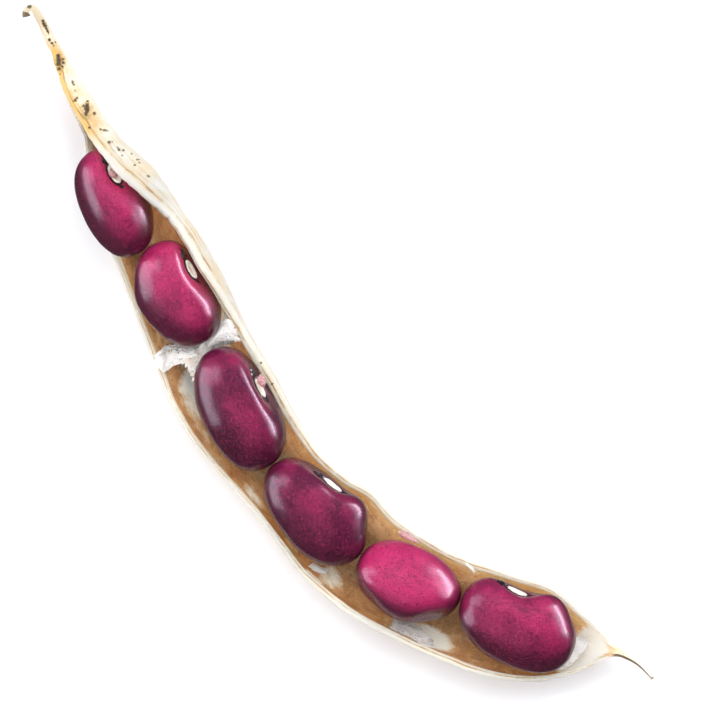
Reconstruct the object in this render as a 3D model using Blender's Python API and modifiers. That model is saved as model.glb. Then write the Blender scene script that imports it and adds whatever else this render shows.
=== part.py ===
"""One half of a dried bean pod, lying open with its six red beans still in a row along its seam.

The pod half is a thin twisted shell. It lies open upwards from the third bean to the curled
beak, and rolls over on its side towards the stalk, so that its back shows there. Each bean is
a kidney shape with a notch and a raised eye where its little stalk grew from the pod's seam.

Lengths in the tables are in millimetres, in the pod's own layout: x runs along the straight
line between its two tips, from stalk to beak, y points across it to the seam that bears the
beans, and z is the height over the surface that the pod lies on. MM turns them into metres.
"""

from math import asin, cos, pi, radians, sin

import bmesh
import bpy
import numpy as np
from mathutils import Matrix, Vector

MM = 0.001

# The shell. The wall keeps at least 0.6 mm where REST_FLAT is taken off its low points. The
# edges are rounded by RIM_ROUNDING, or by THIN_RIM_ROUNDING of the wall if that is less.
WALL = 0.75
RIM_BEAD = 0.08
RIM_BEAD_WIDTH = 0.9
RIM_ROUNDING = 0.14
THIN_RIM_ROUNDING = 0.3
REST_FLAT = 0.15
FULLNESS = 2.25
PINCH = 0.35
PINCH_LENGTH = 2.2
ROWS_PER_STATION = 2
COLUMNS = 16
DIRECTION_STEP = 0.02

# Where the stalk and the beak are solid, the inside of the section becomes a low rounded lid:
# its share of the back's width and height, and how far it stays under the line of the edges.
LID_WIDTH = 0.96
LID_HEIGHT = 0.9
LID_DROP = 0.03

# The first stations, which run round the hook, double back along the pod.
HOOK_STATIONS = 4

# The pod's stations from stalk to beak: bean seam edge x, y, back seam edge x, y, how far the
# bean seam stands above the back seam, height of the lowest point, depth of the wall behind
# the line between the edges, inward curl of the edges in degrees, and 1 where it is solid.
STATIONS = [
    (-50.10, -0.75, -50.10, -0.75, 0.95, 3.20, 0.45, 0, 1.0),   # cut end of the stalk
    (-50.52, -0.50, -50.52, -0.50, 0.80, 3.25, 0.36, 0, 1.0),   # hook
    (-50.62, 0.02, -50.62, 0.02, 0.76, 3.25, 0.34, 0, 1.0),
    (-50.25, 0.42, -50.25, 0.42, 0.82, 3.20, 0.36, 0, 1.0),
    (-49.30, 0.22, -49.30, 0.22, 1.10, 3.00, 0.45, 0, 1.0),
    (-48.00, -0.12, -48.00, -0.12, 1.50, 2.70, 0.50, 0, 1.0),   # neck
    (-46.40, -0.80, -46.40, -0.80, 2.40, 2.20, 0.80, 0, 0.6),
    (-44.50, -1.85, -44.50, -1.90, 3.70, 1.60, 1.50, 5, 0.1),
    (-42.30, -2.90, -42.30, -3.00, 4.90, 1.00, 2.05, 10, 0.0),
    (-40.00, -3.75, -40.00, -3.95, 6.00, 0.50, 2.45, 15, 0.0),
    (-37.60, -4.30, -37.60, -4.70, 7.20, 0.15, 2.80, 20, 0.0),
    (-35.40, -4.80, -35.60, -5.60, 8.20, 0.00, 3.40, 24, 0.0),
    (-33.00, -5.10, -33.40, -7.60, 8.90, 0.00, 4.30, 25, 0.0),
    (-30.00, -5.20, -30.60, -9.80, 9.00, 0.00, 5.20, 25, 0.0),  # bean 1
    (-27.00, -4.85, -27.80, -11.00, 8.00, 0.00, 5.20, 24, 0.0),
    (-23.60, -4.35, -24.20, -11.90, 6.70, 0.00, 4.90, 18, 0.0),
    (-20.50, -4.60, -21.00, -13.10, 5.90, 0.00, 5.00, 20, 0.0),
    (-17.00, -5.40, -17.70, -14.40, 5.40, 0.00, 5.20, 22, 0.0),  # bean 2
    (-13.50, -5.90, -14.20, -15.75, 4.60, 0.00, 5.00, 20, 0.0),
    (-10.00, -6.55, -11.00, -17.00, 3.80, 0.00, 4.80, 16, 0.0),
    (-6.40, -7.25, -7.90, -18.20, 2.80, 0.00, 4.60, 12, 0.0),
    (-2.00, -8.10, -3.00, -19.20, 1.90, 0.00, 4.50, 10, 0.0),   # bean 3
    (2.50, -9.20, 2.30, -19.50, 1.00, 0.00, 4.40, 8, 0.0),
    (7.00, -9.85, 7.00, -19.60, 0.20, 0.00, 4.30, 8, 0.0),
    (11.00, -9.55, 11.80, -20.00, -0.40, 0.00, 4.30, 8, 0.0),   # bean 4
    (14.20, -8.60, 15.50, -20.35, -0.60, 0.00, 4.30, 8, 0.0),
    (17.90, -8.60, 19.50, -20.00, -0.80, 0.00, 4.30, 8, 0.0),
    (21.90, -7.75, 24.30, -18.90, -0.80, 0.00, 4.30, 8, 0.0),   # bean 5
    (25.90, -6.40, 28.80, -17.20, -0.80, 0.00, 4.30, 8, 0.0),
    (29.00, -4.80, 32.80, -15.50, -0.80, 0.00, 4.30, 8, 0.0),
    (32.20, -3.00, 36.20, -13.80, -0.80, 0.00, 4.30, 8, 0.0),   # bean 6
    (35.20, -1.40, 39.20, -11.80, -0.80, 0.00, 4.20, 8, 0.0),
    (38.00, -0.95, 41.60, -9.50, -0.60, 0.10, 3.90, 8, 0.0),
    (40.60, -0.60, 43.30, -7.00, -0.20, 0.60, 3.40, 6, 0.0),
    (42.60, -0.60, 44.40, -4.70, 0.20, 1.40, 2.70, 5, 0.0),
    (44.20, -0.55, 44.95, -2.90, 0.25, 2.30, 1.80, 0, 0.1),
    (45.20, -0.40, 45.50, -1.50, 0.25, 3.10, 1.10, 0, 0.6),
    (46.50, 0.05, 46.60, -0.60, 0.20, 3.70, 0.70, 0, 1.0),      # beak
    (48.20, 0.35, 48.10, -0.15, 0.15, 4.00, 0.45, 0, 1.0),
    (50.25, 0.20, 50.25, -0.05, 0.10, 4.20, 0.25, 0, 1.0),      # tip
]

# Where the wall draws in between one bean and the next.
PINCHES = [-36.0, -22.6, -10.0, 4.4, 18.6, 29.6]

# The beans: centre x, y, z, turn seen from above, roll that lifts the notched side, length,
# width across the notch, thickness, where the eye is along the bean and how deep the notch is
# there, and the swellings round the outline. Each swelling has its angle from the beak end
# towards the notch, its height and its spread in degrees.
BEANS = [
    ("bean_1", (-28.6, -7.6, 5.9), -19, 63, (12.7, 8.1, 6.8), (-2.6, 1.0),
     [(40, -0.4, 28), (-155, -1.1, 28)]),
    ("bean_2", (-16.45, -9.6, 5.1), -10, 34, (12.0, 8.4, 6.9), (-1.3, 1.0),
     [(62, -0.1, 24), (138, 0.8, 24), (-150, -0.9, 24)]),
    ("bean_3", (-2.65, -12.93, 4.85), -17, 26, (14.1, 8.6, 6.9), (-0.9, 1.1),
     [(62, -0.2, 24), (145, -0.15, 24), (-28, 0.3, 24), (-150, -0.4, 24)]),
    ("bean_4", (11.4, -14.6, 4.75), -5, 20, (13.8, 8.4, 6.9), (-1.1, 0.9),
     [(62, 1.1, 24), (145, -0.8, 24), (-28, -0.2, 24)]),
    ("bean_5", (24.22, -12.4, 4.7), 23, -25, (12.1, 8.5, 6.9), (-0.5, 0.5),
     [(40, -0.4, 26), (-35, -1.0, 26), (-135, -0.5, 26)]),
    ("bean_6", (35.85, -7.0, 4.9), 22, 18, (13.4, 8.6, 6.9), (-1.6, 0.8),
     [(62, 0.9, 24), (145, 0.6, 24), (-150, -0.2, 24)]),
]
BEAN_FULLNESS = 2.25
BEAN_FACETS = 4
LOBE_FLATTENING = 4
NOTCH_HALF = (2.9, 1.9)
EYE_SIZE = (1.30, 0.55, 0.62)
EYE_PROUD = 0.18
EYE_SEGMENTS = 14
EYE_RINGS = 8

# The left-over bean stalks: points along each and its thickness at them.
BEAN_STALKS = {
    "bean_stalk_1": [(-31.2, -5.8, 9.45, 0.6), (-30.8, -5.75, 9.6, 0.6), (-30.4, -5.7, 9.6, 0.6)],
    "bean_stalk_3": [(-3.4, -8.7, 7.2, 0.6), (-2.6, -9.2, 7.4, 0.8), (-1.9, -9.6, 7.3, 0.9)],
    "bean_stalk_5": [(19.5, -9.3, 5.6, 0.7), (20.3, -9.0, 5.75, 0.6), (21.5, -8.7, 5.6, 0.6)],
}

# The torn pieces of lining. Each row crosses the piece and gives, at each point, the place
# along the pod, the share of the way round the wall from the bean seam to the back seam, and
# the height over the wall.
LINING_THICKNESS = 0.6
LINING_FLAPS = {
    "lining_flap_1": [
        [(-12.6, 0.62, 0.9), (-12.6, 0.78, 1.6), (-12.8, 0.93, 1.4)],
        [(-11.2, 0.58, 0.7), (-11.2, 0.76, 0.8), (-11.2, 0.93, 0.8)],
        [(-9.9, 0.55, 0.9), (-9.6, 0.74, 1.4), (-9.7, 0.92, 1.0)],
    ],
    "lining_flap_2": [
        [(-11.3, 0.10, 0.8), (-11.2, 0.20, 0.9), (-11.1, 0.32, 1.2)],
        [(-9.9, 0.08, 0.8), (-9.9, 0.20, 0.7), (-9.9, 0.30, 0.9)],
        [(-8.7, 0.08, 0.9), (-8.8, 0.16, 1.0), (-9.0, 0.22, 1.1)],
    ],
    "lining_flap_3": [
        [(26.2, 0.80, 0.8), (25.9, 0.87, 0.9), (25.5, 0.94, 0.8)],
        [(28.4, 0.74, 1.4), (28.2, 0.82, 0.9), (27.8, 0.93, 0.8)],
        [(30.3, 0.74, 1.5), (30.2, 0.82, 0.9), (29.8, 0.92, 0.8)],
    ],
    "lining_flap_4": [
        [(42.2, 0.36, 0.8), (42.2, 0.50, 0.8), (42.2, 0.66, 0.9)],
        [(43.2, 0.36, 0.7), (43.2, 0.50, 0.7), (43.2, 0.66, 0.8)],
    ],
}

# Finishes: colour, roughness and metallic value.
POD_FINISH = ((0.80, 0.66, 0.44, 1.0), 0.62, 0.0)
BEAN_FINISH = ((0.26, 0.015, 0.075, 1.0), 0.22, 0.0)
STALK_FINISH = ((0.62, 0.36, 0.35, 1.0), 0.60, 0.0)
LINING_FINISH = ((0.80, 0.77, 0.72, 1.0), 0.55, 0.0)


def clear_scene():
    for found in list(bpy.data.objects):
        bpy.data.objects.remove(found, do_unlink=True)


def new_collection(name):
    collection = bpy.data.collections.new(name)
    bpy.context.scene.collection.children.link(collection)
    return collection


def material(name, finish):
    colour, roughness, metallic = finish
    made = bpy.data.materials.new(name)
    made.use_nodes = True
    made.diffuse_color = colour
    shader = made.node_tree.nodes["Principled BSDF"]
    shader.inputs["Base Color"].default_value = colour
    shader.inputs["Roughness"].default_value = roughness
    shader.inputs["Metallic"].default_value = metallic
    return made


def add_mesh_object(name, mesh_builder, surface, collection, parent):
    """Make an object from a bmesh, with outward faces and smooth shading."""
    bmesh.ops.recalc_face_normals(mesh_builder, faces=mesh_builder.faces)
    mesh = bpy.data.meshes.new(name)
    mesh_builder.to_mesh(mesh)
    mesh_builder.free()
    mesh.shade_smooth()
    mesh.materials.append(surface)
    made = bpy.data.objects.new(name, mesh)
    collection.objects.link(made)
    made.parent = parent
    return made


def smooth_row(rows, place):
    """Read the table of rows at a place between them, on a smooth curve through each column."""
    last = len(rows) - 1
    index = min(int(place), last - 1)
    t = place - index
    before = rows[max(index - 1, 0)]
    here = rows[index]
    after = rows[index + 1]
    beyond = rows[min(index + 2, last)]
    pull = (after - before) / 2
    push = (beyond - here) / 2
    return (
        (2 * t**3 - 3 * t**2 + 1) * here
        + (t**3 - 2 * t**2 + t) * pull
        + (3 * t**2 - 2 * t**3) * after
        + (t**3 - t**2) * push
    )


def pinch_at(x):
    """How far the wall draws in at x, between the beans."""
    return PINCH * sum(np.exp(-(((x - centre) / PINCH_LENGTH) ** 2)) for centre in PINCHES)


def arc_points(width, depth, curl, pinch):
    """The wall's back in its own plane: along the line between the edges, and out from it."""
    lip = radians(curl)
    turn = np.linspace(-lip, pi + lip, COLUMNS + 1)
    half_width = width / 2 / cos(lip)
    half_depth = depth / (1 + sin(lip))
    along = half_width * np.sign(np.cos(turn)) * np.abs(np.cos(turn)) ** (2 / FULLNESS)
    out = half_depth * np.sign(np.sin(turn)) * np.abs(np.sin(turn)) ** (2 / FULLNESS)
    normal = np.stack([
        np.sign(along) * (np.abs(along) / half_width) ** (FULLNESS - 1) / half_width,
        np.sign(out) * (np.abs(out) / half_depth) ** (FULLNESS - 1) / half_depth,
    ], axis=1)
    normal /= np.linalg.norm(normal, axis=1)[:, None]
    points = np.stack([along, out - out[0]], axis=1)
    drawn_in = pinch * np.clip(points[:, 1] / depth, 0, 1)
    return points - normal * drawn_in[:, None], normal


def section(place):
    """Outer and inner points of the shell's cross-section at a place in the stations."""
    rows = np.array(STATIONS)
    row = smooth_row(rows, place)
    ahead = smooth_row(rows, min(place + DIRECTION_STEP, len(rows) - 1.0))
    behind = smooth_row(rows, max(place - DIRECTION_STEP, 0.0))
    travel = (ahead[:4] - behind[:4]).reshape(2, 2).mean(axis=0)
    forward = Vector((travel[0], travel[1], 0.0)).normalized()
    across = Vector((row[0] - row[2], row[1] - row[3], row[4]))
    outward = across.cross(forward).normalized()
    width = across.length
    across.normalize()
    middle_x, middle_y = (row[0] + row[2]) / 2, (row[1] + row[3]) / 2
    depth, curl, solid = row[6], max(row[7], 0.0), min(max(row[8], 0.0), 1.0)
    outer, normal = arc_points(width, depth, curl, pinch_at(middle_x) * (1 - solid))
    reach = np.linspace(0, 1, len(outer)) * (width + 2 * depth)
    from_edge = np.minimum(reach, reach[::-1])
    wall = WALL + RIM_BEAD * np.exp(-((from_edge / RIM_BEAD_WIDTH) ** 2))
    hollow = outer - normal * wall[:, None]
    lid = np.stack([outer[:, 0] * LID_WIDTH, -LID_HEIGHT * outer[:, 1] - LID_DROP], axis=1)
    inner = hollow * (1 - solid) + lid * solid
    low = min(outer[:, 0] * across.z + outer[:, 1] * outward.z)
    base = Vector((middle_x, middle_y, row[5] - low - REST_FLAT))

    def in_space(flat):
        return [base + across * float(a) + outward * float(b) for a, b in flat]

    outer_points = in_space(outer)
    for point in outer_points:
        point.z = max(point.z, 0.0)
    return outer_points, in_space(inner)


def place_at(x):
    """The place in the stations where the middle of the pod has the given x."""
    middles = [(row[0] + row[2]) / 2 for row in STATIONS[HOOK_STATIONS:]]
    return HOOK_STATIONS + float(np.interp(x, middles, range(len(middles))))


def on_wall(x, share, height):
    """A point over the inside of the wall: share runs from the bean seam to the back seam."""
    outer, inner = section(place_at(x))
    place = share * COLUMNS
    index = min(int(place), COLUMNS - 1)
    blend = place - index
    inside = inner[index].lerp(inner[index + 1], blend)
    outside = outer[index].lerp(outer[index + 1], blend)
    return inside + (inside - outside).normalized() * height


def pod_valve(surface, collection, parent):
    """The shell, lofted through its stations: back, edge, inside, edge, and an end cap each way."""
    builder = bmesh.new()
    rings = []
    count = (len(STATIONS) - 1) * ROWS_PER_STATION
    for step in range(count + 1):
        outer, inner = section(step / ROWS_PER_STATION)
        lips = []
        for end in (-1, 0):
            neighbour = -2 if end == -1 else 1
            edge = (outer[end] + inner[end]) / 2
            off = (outer[end] - outer[neighbour] + inner[end] - inner[neighbour]).normalized()
            reach = min(RIM_ROUNDING, THIN_RIM_ROUNDING * (outer[end] - inner[end]).length)
            lips.append(edge + off * reach)
        loop = outer + [lips[0]] + inner[::-1] + [lips[1]]
        rings.append([builder.verts.new(point * MM) for point in loop])
    size = len(rings[0])
    for ring, following in zip(rings, rings[1:]):
        for k in range(size):
            after = (k + 1) % size
            builder.faces.new((ring[k], ring[after], following[after], following[k]))
    for ring in (rings[0], rings[-1]):
        builder.faces.new(ring)
    return add_mesh_object("pod_valve", builder, surface, collection, parent)


def bean_point(direction, size, notch, lobes):
    """A point of a bean's skin in the bean's own frame, for a direction on the unit sphere."""
    eye_x, depth = notch
    half = Vector(size) / 2
    sum_of_powers = sum(abs(part) ** BEAN_FULLNESS for part in direction)
    full = sum_of_powers ** (-1 / BEAN_FULLNESS)
    point = Vector([part * full * radius for part, radius in zip(direction, half)])
    angle = np.arctan2(point.y, point.x)
    swelling = 0.0
    for where, height, spread in lobes:
        off = (angle - radians(where) + pi) % (2 * pi) - pi
        swelling += height * np.exp(-((off / radians(spread)) ** 2))
    swelling *= np.hypot(direction.x, direction.y) ** LOBE_FLATTENING
    point += Vector((cos(angle), sin(angle), 0.0)) * float(swelling)
    off_eye = ((point.x - eye_x) / NOTCH_HALF[0]) ** 2 + (point.z / NOTCH_HALF[1]) ** 2
    point.y -= depth * max(direction.y, 0.0) * float(np.exp(-off_eye))
    return point


def union(target, tool):
    """Join a closed piece to another, and remove the piece that was joined."""
    joined = target.modifiers.new("join", "BOOLEAN")
    joined.operation = "UNION"
    joined.solver = "EXACT"
    joined.object = tool
    bpy.context.view_layer.update()
    evaluated = target.evaluated_get(bpy.context.evaluated_depsgraph_get())
    mesh = bpy.data.meshes.new_from_object(evaluated)
    target.modifiers.remove(joined)
    target.data = mesh
    bpy.data.objects.remove(tool, do_unlink=True)


def bean(name, centre, turn, roll, size, notch, lobes, surface, collection, parent):
    """One bean: a round form pressed into a kidney shape, with its raised eye in the notch."""
    builder = bmesh.new()
    bmesh.ops.create_icosphere(builder, subdivisions=BEAN_FACETS, radius=1.0)
    for vertex in builder.verts:
        vertex.co = bean_point(vertex.co.normalized(), size, notch, lobes) * MM
    made = add_mesh_object(name, builder, surface, collection, parent)

    share = notch[0] / (size[0] / 2)
    where = bean_point(Vector((share, cos(asin(share)), 0.0)), size, notch, lobes)
    eye_builder = bmesh.new()
    bmesh.ops.create_uvsphere(
        eye_builder, u_segments=EYE_SEGMENTS, v_segments=EYE_RINGS, radius=1.0
    )
    eye_centre = where + Vector((0.0, EYE_PROUD - EYE_SIZE[1], 0.0))
    shape = Matrix.LocRotScale(eye_centre * MM, None, Vector(EYE_SIZE) * MM)
    bmesh.ops.transform(eye_builder, matrix=shape, verts=eye_builder.verts)
    eye = add_mesh_object(name + "_eye", eye_builder, surface, collection, None)
    union(made, eye)
    made.data.shade_smooth()

    made.rotation_euler = (radians(roll), 0.0, radians(turn))
    made.location = Vector(centre) * MM
    return made


def bean_stalk(name, points, surface, collection, parent):
    """What is left of the little stalk of one bean: a short tapered tube."""
    curve = bpy.data.curves.new(name, "CURVE")
    curve.dimensions = "3D"
    curve.bevel_depth = MM / 2
    curve.bevel_resolution = 2
    curve.resolution_u = 3
    curve.use_fill_caps = True
    spline = curve.splines.new("BEZIER")
    spline.bezier_points.add(len(points) - 1)
    for knot, (x, y, z, thickness) in zip(spline.bezier_points, points):
        knot.co = Vector((x, y, z)) * MM
        knot.radius = thickness
        knot.handle_left_type = "AUTO"
        knot.handle_right_type = "AUTO"
    curve.materials.append(surface)
    made = bpy.data.objects.new(name, curve)
    collection.objects.link(made)
    made.parent = parent
    return made


def lining_flap(name, rows, surface, collection, parent):
    """A torn piece of the papery lining: a thin sheet that follows the wall."""
    builder = bmesh.new()
    grid = []
    for row in rows:
        grid.append([builder.verts.new(on_wall(*spot) * MM) for spot in row])
    for row, following in zip(grid, grid[1:]):
        for k in range(len(row) - 1):
            builder.faces.new((row[k], row[k + 1], following[k + 1], following[k]))
    made = add_mesh_object(name, builder, surface, collection, parent)
    smooth = made.modifiers.new("soft folds", "SUBSURF")
    smooth.levels = 1
    smooth.render_levels = 1
    smooth.boundary_smooth = "PRESERVE_CORNERS"
    thick = made.modifiers.new("thickness", "SOLIDIFY")
    thick.thickness = LINING_THICKNESS * MM
    thick.offset = 0.0
    return made


def stand_on_origin(parent, collection):
    """Move the whole pod so that the middle of its outline is over the origin."""
    bpy.context.view_layer.update()
    graph = bpy.context.evaluated_depsgraph_get()
    points = []
    for part in collection.objects:
        if part.type == "EMPTY":
            continue
        shown = part.evaluated_get(graph)
        mesh = shown.to_mesh()
        points += [shown.matrix_world @ vertex.co for vertex in mesh.vertices]
        shown.to_mesh_clear()
    for axis in (0, 1):
        values = [point[axis] for point in points]
        parent.location[axis] = -(min(values) + max(values)) / 2


def main():
    clear_scene()
    collection = new_collection("open_bean_pod")
    parent = bpy.data.objects.new("pod_layout", None)
    collection.objects.link(parent)
    pod_valve(material("pod_wall", POD_FINISH), collection, parent)
    skin = material("bean_coat", BEAN_FINISH)
    for name, centre, turn, roll, size, notch, lobes in BEANS:
        bean(name, centre, turn, roll, size, notch, lobes, skin, collection, parent)
    dried_stalk = material("bean_stalk", STALK_FINISH)
    for name, points in BEAN_STALKS.items():
        bean_stalk(name, points, dried_stalk, collection, parent)
    lining = material("pod_lining", LINING_FINISH)
    for name, rows in LINING_FLAPS.items():
        lining_flap(name, rows, lining, collection, parent)
    stand_on_origin(parent, collection)


main()
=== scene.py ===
"""Half of a dried bean pod, lying open on a white table with its six red beans in it."""

from math import asin, cos, pi, radians, sin

import bpy
import numpy as np
from mathutils import Euler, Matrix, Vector, noise


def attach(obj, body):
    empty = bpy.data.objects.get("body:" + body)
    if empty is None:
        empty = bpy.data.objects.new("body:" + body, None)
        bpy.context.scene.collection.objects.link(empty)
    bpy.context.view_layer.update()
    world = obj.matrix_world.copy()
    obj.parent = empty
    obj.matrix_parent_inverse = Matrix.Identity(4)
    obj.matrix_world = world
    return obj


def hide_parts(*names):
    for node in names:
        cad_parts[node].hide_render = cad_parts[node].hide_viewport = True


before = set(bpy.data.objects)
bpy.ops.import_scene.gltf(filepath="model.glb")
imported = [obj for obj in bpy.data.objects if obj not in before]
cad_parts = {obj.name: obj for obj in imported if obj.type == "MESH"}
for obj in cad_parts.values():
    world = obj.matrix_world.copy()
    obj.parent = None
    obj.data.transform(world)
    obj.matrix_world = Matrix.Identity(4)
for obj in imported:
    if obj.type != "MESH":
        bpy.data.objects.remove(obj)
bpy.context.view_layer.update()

MM = 0.001

# Pod valve. One half of a ripe bean pod: a thin shell of dry fibre, grown in one piece. It
# split along both seams and twisted as it dried, so that its cream outside shows at the stalk
# and its tan inside from there to the curled beak. Two strands of fibre run in the bean seam.

# The pod lies along x in its own layout, in millimetres, and this moves it to the frame.
POD_SHIFT = np.array([0.35, 9.83, 0.0])
# The wall, its rounded edges, the flattened foot, the pinches between the beans, the lid that
# closes the solid ends, and how finely the shell is divided.
WALL = 0.75
RIM_TAPER = 1.9
RIM_CAP = 0.16
RIM_CAP_SHARE = 0.3
RIM_ROUNDING = 0.6
RIM_GROOVE = (0.9, 0.13)
RIM_POINTS = 7
REST_FLAT = 0.15
FULLNESS = 2.25
PINCH = 0.35
PINCH_LENGTH = 2.2
LID_WIDTH = 0.96
LID_HEIGHT = 0.9
LID_DROP = 0.03
POD_COLUMNS = 88
CROWDING = 0.06
FINE_ROW = 0.14
COARSE_ROW = 0.34
FINE_UNTIL = -8.0

# Stations from stalk to beak: bean seam edge x, y, back seam edge x, y, how far the bean seam
# stands above the back seam, height of the lowest point, depth of the wall behind the line
# between the edges, inward curl of the edges in degrees, and 1 where it is solid.
STATIONS = np.array([
    (-50.1, -0.75, -50.1, -0.75, 0.95, 3.2, 0.45, 0, 1.0),   # cut end of the stalk
    (-50.52, -0.5, -50.52, -0.5, 0.8, 3.25, 0.36, 0, 1.0),   # hook
    (-50.62, 0.02, -50.62, 0.02, 0.76, 3.25, 0.34, 0, 1.0),
    (-50.25, 0.42, -50.25, 0.42, 0.82, 3.2, 0.36, 0, 1.0),
    (-49.3, 0.22, -49.3, 0.22, 1.1, 3.0, 0.45, 0, 1.0),
    (-48.0, -0.12, -48.0, -0.12, 1.5, 2.7, 0.5, 0, 1.0),   # neck
    (-46.4, -0.8, -46.4, -0.8, 2.4, 2.2, 0.8, 0, 0.6),
    (-44.5, -1.85, -44.5, -1.9, 3.7, 1.6, 1.5, 5, 0.1),
    (-42.3, -2.9, -42.3, -3.0, 4.9, 1.0, 2.05, 10, 0.0),
    (-40.0, -3.75, -40.0, -3.95, 6.0, 0.5, 2.45, 15, 0.0),
    (-37.6, -4.3, -37.6, -4.7, 7.2, 0.15, 2.8, 20, 0.0),
    (-35.4, -4.8, -35.6, -5.6, 8.2, 0.0, 3.4, 24, 0.0),
    (-33.0, -5.1, -33.4, -7.6, 8.9, 0.0, 4.3, 25, 0.0),
    (-30.0, -5.2, -30.6, -9.8, 9.0, 0.0, 5.2, 25, 0.0),  # bean 1
    (-27.0, -4.85, -27.8, -11.0, 8.0, 0.0, 5.2, 24, 0.0),
    (-23.6, -4.35, -24.2, -11.9, 6.7, 0.0, 4.9, 18, 0.0),
    (-20.5, -4.6, -21.0, -13.1, 5.9, 0.0, 5.0, 20, 0.0),
    (-17.0, -5.4, -17.7, -14.4, 5.4, 0.0, 5.2, 22, 0.0),  # bean 2
    (-13.5, -5.9, -14.2, -15.75, 4.6, 0.0, 5.0, 20, 0.0),
    (-10.0, -6.55, -11.0, -17.0, 3.8, 0.0, 4.8, 16, 0.0),
    (-6.4, -7.25, -7.9, -18.2, 2.8, 0.0, 4.6, 12, 0.0),
    (-2.0, -8.1, -3.0, -19.2, 1.9, 0.0, 4.5, 10, 0.0),   # bean 3
    (2.5, -9.2, 2.3, -19.5, 1.0, 0.0, 4.4, 8, 0.0),
    (7.0, -9.85, 7.0, -19.6, 0.2, 0.0, 4.3, 8, 0.0),
    (11.0, -9.55, 11.8, -20.0, -0.4, 0.0, 4.3, 8, 0.0),   # bean 4
    (14.2, -8.6, 15.5, -20.35, -0.6, 0.0, 4.3, 8, 0.0),
    (17.9, -8.6, 19.5, -20.0, -0.8, 0.0, 4.3, 8, 0.0),
    (21.9, -7.75, 24.3, -18.9, -0.8, 0.0, 4.3, 8, 0.0),   # bean 5
    (25.9, -6.4, 28.8, -17.2, -0.8, 0.0, 4.3, 8, 0.0),
    (29.0, -4.8, 32.8, -15.5, -0.8, 0.0, 4.3, 8, 0.0),
    (32.2, -3.0, 36.2, -13.8, -0.8, 0.0, 4.3, 8, 0.0),   # bean 6
    (35.2, -1.4, 39.2, -11.8, -0.8, 0.0, 4.2, 8, 0.0),
    (38.0, -0.95, 41.6, -9.5, -0.6, 0.1, 3.9, 8, 0.0),
    (40.6, -0.6, 43.3, -7.0, -0.2, 0.6, 3.4, 6, 0.0),
    (42.6, -0.6, 44.4, -4.7, 0.2, 1.4, 2.7, 5, 0.0),
    (44.2, -0.55, 44.95, -2.9, 0.25, 2.3, 1.8, 0, 0.1),
    (45.2, -0.4, 45.5, -1.5, 0.25, 3.1, 1.1, 0, 0.6),
    (46.5, 0.05, 46.6, -0.6, 0.2, 3.7, 0.7, 0, 1.0),      # beak
    (48.2, 0.35, 48.1, -0.15, 0.15, 4.0, 0.45, 0, 1.0),
    (50.25, 0.2, 50.25, -0.05, 0.1, 4.2, 0.25, 0, 1.0),      # tip
])
PINCHES = [-36.0, -22.6, -10.0, 4.4, 18.6, 29.6]

# The strands along the seams stand up a little: distance from the edge, height, half width.
SEAM_STRANDS = [(0.35, 0.10, 0.28), (0.95, 0.08, 0.25), (1.35, -0.05, 0.16)]
BACK_STRANDS = [(0.40, 0.08, 0.30), (0.95, -0.04, 0.16)]
# The wall is uneven: height, size, how far it is drawn out along the pod, and which noise.
RELIEF = [(0.06, 3.4, 1.0, 1), (0.035, 0.9, 0.5, 2)]

# Where an edge is torn back: which edge (0 bean seam, 1 back seam), x, depth and half width.
TEARS = [
    (0, -23.4, 0.3, 0.22), (0, -21.9, 0.1, 0.5), (0, -24.9, 0.12, 0.4),
    (0, 27.9, 0.45, 0.45), (0, -9.6, 0.18, 0.6), (0, 42.2, 0.18, 0.35),
    (1, -12.2, 0.35, 0.8), (1, 14.3, 0.25, 0.6), (1, 33.0, 0.15, 0.6),
]

# How thick the wall is at its edges: x, at the bean seam, at the back seam.
RIM_WALLS = [
    (-60.0, 0.55, 0.5), (-20.0, 0.8, 0.48), (-12.0, 1.0, 0.48), (2.0, 1.0, 0.48),
    (8.0, 0.78, 0.56), (20.0, 0.66, 0.68), (33.0, 0.6, 0.7), (39.0, 0.42, 0.62),
    (60.0, 0.4, 0.4),
]

# The golden line beside the bean seam, on the outside: x, and its distance from the edge.
GOLDEN_LINE = [
    (-50.0, 0.55), (-46.0, 0.6), (-43.5, 0.55), (-40.0, 0.5), (-37.5, 0.6), (-34.0, 0.95),
    (-30.0, 1.25), (-26.0, 1.0), (-22.0, 0.75), (-19.0, 0.95), (-16.0, 0.8), (-11.0, 0.55),
    (-4.0, 0.6), (10.0, 0.5), (30.0, 0.5), (51.0, 0.4),
]
LINE_END = 43.0
# The edge beside it is golden between these, fading in and out.
GOLDEN_FROM, GOLDEN_TO = (-46.6, -45.2), (-33.0, -37.0)

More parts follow.
